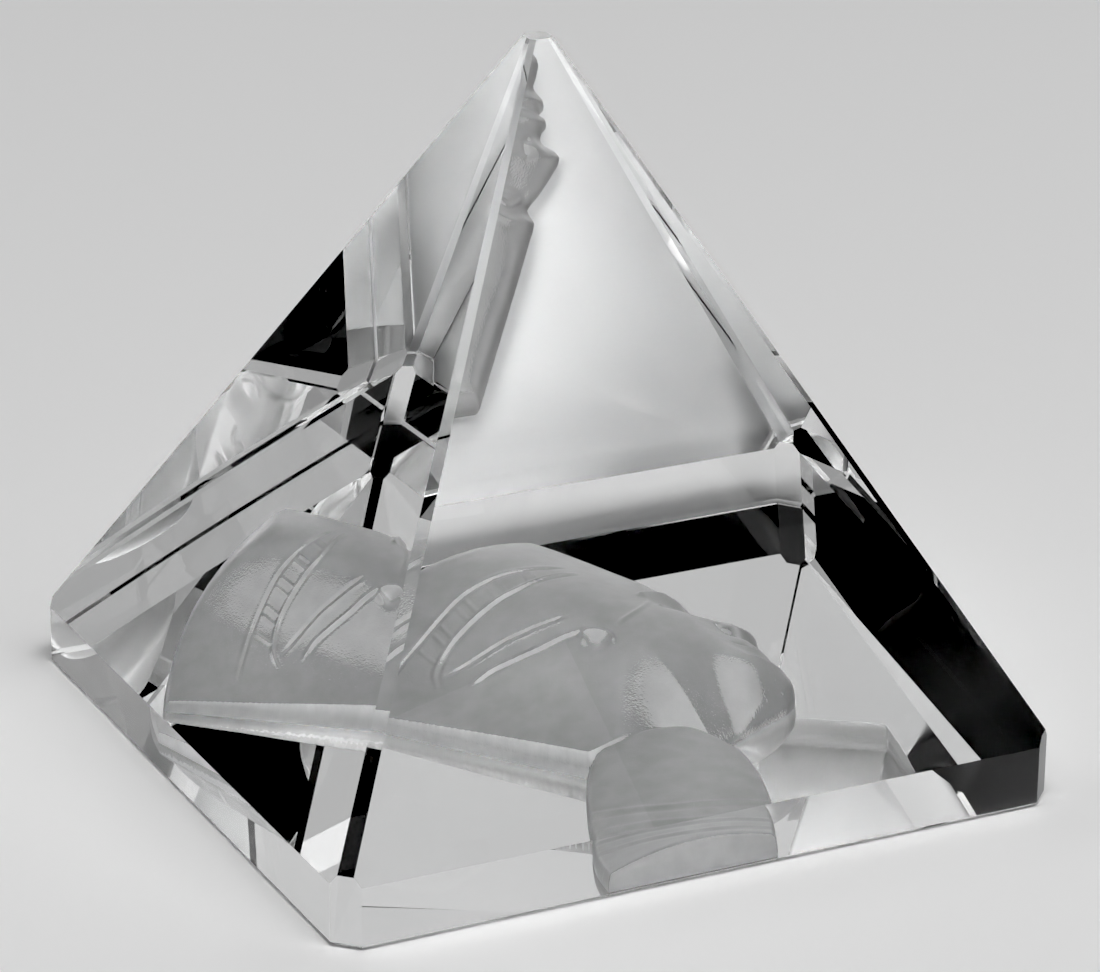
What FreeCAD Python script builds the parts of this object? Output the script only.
"""Pyramid paperweight: one block of polished optical glass, square in plan, with a head and
neck in profile ground into its underside.

Frame: origin at the centre of the base, +Z up, X and Y square to the sides. Lengths in mm.
The figure lies flat in the base: its crown leans towards -X and +Y, its face looks towards
+X, and its neck runs towards -Y. The headdress has an axis of its own, LEAN degrees from +Y.
"""
import FreeCAD, Part
import math
import os

# Driving dimensions of the block
SIDE = 80.0                      # width of the square base
BAND_HEIGHT = 6.5                # upright band below the sloping faces
FACE_ANGLE = 60.7                # slope of the four faces, degrees from the base
TIP_SIDE = 2.6                   # width of the small flat on top
CORNER_LEG = 2.3                 # facet on each upright corner, as a leg along each side
RIDGE_LEG_LOW = 1.2              # facet along each ridge, as a leg, at the band
RIDGE_LEG_HIGH = 0.5             # the same at the tip
BASE_BEVEL = 0.35                # fine bevel round the base, as a leg

# Driving dimensions of the ground figure
LEAN = 26.0                      # the headdress leans back this many degrees from +Y
DEPTH = 9.2                      # deepest point of the head above the base
NECK_DEPTH = 3.6                 # deepest line of the neck
NECK_RADIUS = 22.0               # roundness of the neck across its width
BELOW = 3.0                      # how far the cutting shapes reach under the base
ABOVE = 15.0                     # how far the outlines' prisms reach above it
NECK_RUN = 3.0                   # lengths of the neck that its round top runs, one past each end

# Outline of the head, clockwise from the nape. Three points in a group are an arc.
NAPE = (-5.1, -15.6)
CROWN_BACK = (-30.6, 12.7)
CROWN_TOP = (-14.6, 25.7)
CROWN_FRONT = (5.3, 30.1)
BROW = (16.0, 11.8)
NOSE = (21.6, 2.0)
CHIN = (20.4, -9.0)
JAW = (9.0, -15.6)
HEAD_OUTLINE = [(NAPE, CROWN_BACK), (CROWN_BACK, CROWN_TOP, CROWN_FRONT), (CROWN_FRONT, BROW),
                (BROW, NOSE, CHIN), (CHIN, JAW), (JAW, NAPE)]

# Outline of the neck, from the jaw down to its cut end beside the base's edge
NECK_BACK = (-3.4, -12.0)
NECK_BACK_LOW = (-10.9, -38.4)
NECK_FRONT_LOW = (8.0, -38.4)
THROAT = (10.9, -25.0)
NECK_FRONT = (9.4, -12.0)
NECK_OUTLINE = [(NECK_BACK, NECK_BACK_LOW), (NECK_BACK_LOW, NECK_FRONT_LOW),
                (NECK_FRONT_LOW, THROAT, NECK_FRONT), (NECK_FRONT, NECK_BACK)]

# Relief of the head across the headdress, from back to front: place, share of the depth
RELIEF = [(-26.0, 0.10), (-17.0, 0.22), (-9.0, 0.45), (5.0, 1.00), (13.0, 0.82), (24.0, 0.24)]
# How that relief fades along the headdress, from its top to the chin: place, share
FADE = [(32.0, 0.68), (24.0, 0.95), (10.0, 1.00), (-22.0, 0.72)]

REACH = 4.0 * SIDE               # size of the blocks that stand for half-spaces
Z_AXIS = FreeCAD.Vector(0, 0, 1)


def half_space(normal, point):
    """Everything behind the plane through the point, as one very large block."""
    block = Part.makeBox(REACH, REACH, REACH, FreeCAD.Vector(-REACH / 2, -REACH / 2, -REACH))
    block.Placement = FreeCAD.Placement(point, FreeCAD.Rotation(Z_AXIS, normal))
    return block


def turned(vector, quarter_turns):
    """The vector turned about Z by that many right angles."""
    return FreeCAD.Rotation(Z_AXIS, 90.0 * quarter_turns).multVec(vector)


def block_height():
    """Height of the tip's flat, where the four faces have closed in to TIP_SIDE."""
    return BAND_HEIGHT + (SIDE - TIP_SIDE) / 2 * math.tan(math.radians(FACE_ANGLE))


def ridge_point(z, shift):
    """A point on a ridge facet at that height, shifted level along the facet."""
    share = (z - BAND_HEIGHT) / (block_height() - BAND_HEIGHT)
    leg = RIDGE_LEG_LOW + (RIDGE_LEG_HIGH - RIDGE_LEG_LOW) * share
    reach = SIDE / 2 - (z - BAND_HEIGHT) / math.tan(math.radians(FACE_ANGLE)) - leg / 2
    return FreeCAD.Vector(reach + shift, reach - shift, z)


def polished_block():
    """The faceted outside: a square prism cut by five kinds of plane, four of each kind."""
    vector = FreeCAD.Vector
    half = SIDE / 2
    corner = half - CORNER_LEG / 2
    corner_inset = corner - BASE_BEVEL / math.sqrt(2)
    ridge_low = ridge_point(BAND_HEIGHT, 0.0)
    along_ridge = ridge_point(block_height(), 0.0) - ridge_low
    ridge_normal = along_ridge.cross(ridge_point(BAND_HEIGHT, 1.0) - ridge_low)
    facets = [
        (vector(math.tan(math.radians(FACE_ANGLE)), 0, 1), vector(half, 0, BAND_HEIGHT)),
        (ridge_normal, ridge_low),
        (vector(1, 1, 0), vector(corner, corner, 0)),
        (vector(1, 0, -1), vector(half - BASE_BEVEL, 0, 0)),
        (vector(1, 1, -math.sqrt(2)), vector(corner_inset, corner_inset, 0)),
    ]
    block = Part.makeBox(SIDE, SIDE, block_height(), vector(-half, -half, 0))
    for normal, point in facets:
        for quarter_turns in range(4):
            block = block.common(half_space(turned(normal, quarter_turns), turned(point, quarter_turns)))
    return block


def outline_prism(outline):
    """The area inside an outline of lines and arcs, as an upright prism through the base."""
    edges = []
    for group in outline:
        points = [FreeCAD.Vector(x, y, -BELOW) for x, y in group]
        curve = Part.Arc(*points) if len(points) == 3 else Part.LineSegment(*points)
        edges.append(curve.toShape())
    return Part.Face(Part.Wire(edges)).extrude(FreeCAD.Vector(0, 0, BELOW + ABOVE))


def relief_section(along, fade):
    """One section across the headdress: the relief's curve, closed below the base."""
    heights = [FreeCAD.Vector(across, along, DEPTH * share * fade) for across, share in RELIEF]
    curve = Part.BSplineCurve()
    curve.interpolate(heights)
    corners = [heights[-1], FreeCAD.Vector(heights[-1].x, along, -BELOW),
               FreeCAD.Vector(heights[0].x, along, -BELOW), heights[0]]
    edges = [curve.toShape()]
    edges += [Part.LineSegment(start, end).toShape() for start, end in zip(corners, corners[1:])]
    return Part.Wire(edges)


def head_hollow():
    """The head's outline, as deep as the relief lets it be."""
    relief = Part.makeLoft([relief_section(along, fade) for along, fade in FADE], True, False)
    relief.rotate(FreeCAD.Vector(0, 0, 0), Z_AXIS, LEAN)
    return outline_prism(HEAD_OUTLINE).common(relief)


def neck_hollow():
    """The neck's outline, with a round top that follows the neck's own direction."""
    low = FreeCAD.Vector((NECK_BACK_LOW[0] + NECK_FRONT_LOW[0]) / 2, NECK_BACK_LOW[1], 0)
    high = FreeCAD.Vector((NECK_BACK[0] + NECK_FRONT[0]) / 2, NECK_BACK[1], 0)
    direction = high - low
    start = low - direction + FreeCAD.Vector(0, 0, NECK_DEPTH - NECK_RADIUS)
    roundness = Part.makeCylinder(NECK_RADIUS, NECK_RUN * direction.Length, start, direction)
    return outline_prism(NECK_OUTLINE).common(roundness)


def main():
    os.makedirs("parts", exist_ok=True)
    pyramid = polished_block().cut(head_hollow()).cut(neck_hollow()).removeSplitter()
    solid = pyramid.Solids[0]
    solid.exportStep("parts/crystal_pyramid.step")
    box = solid.optimalBoundingBox(False)
    print("crystal_pyramid:", len(pyramid.Solids), "solid, valid", solid.isValid())
    print("size %.3f x %.3f x %.3f mm" % (box.XLength, box.YLength, box.ZLength))
    print("hollow %.0f of %.0f mm3" % (polished_block().Volume - solid.Volume, solid.Volume))


main()
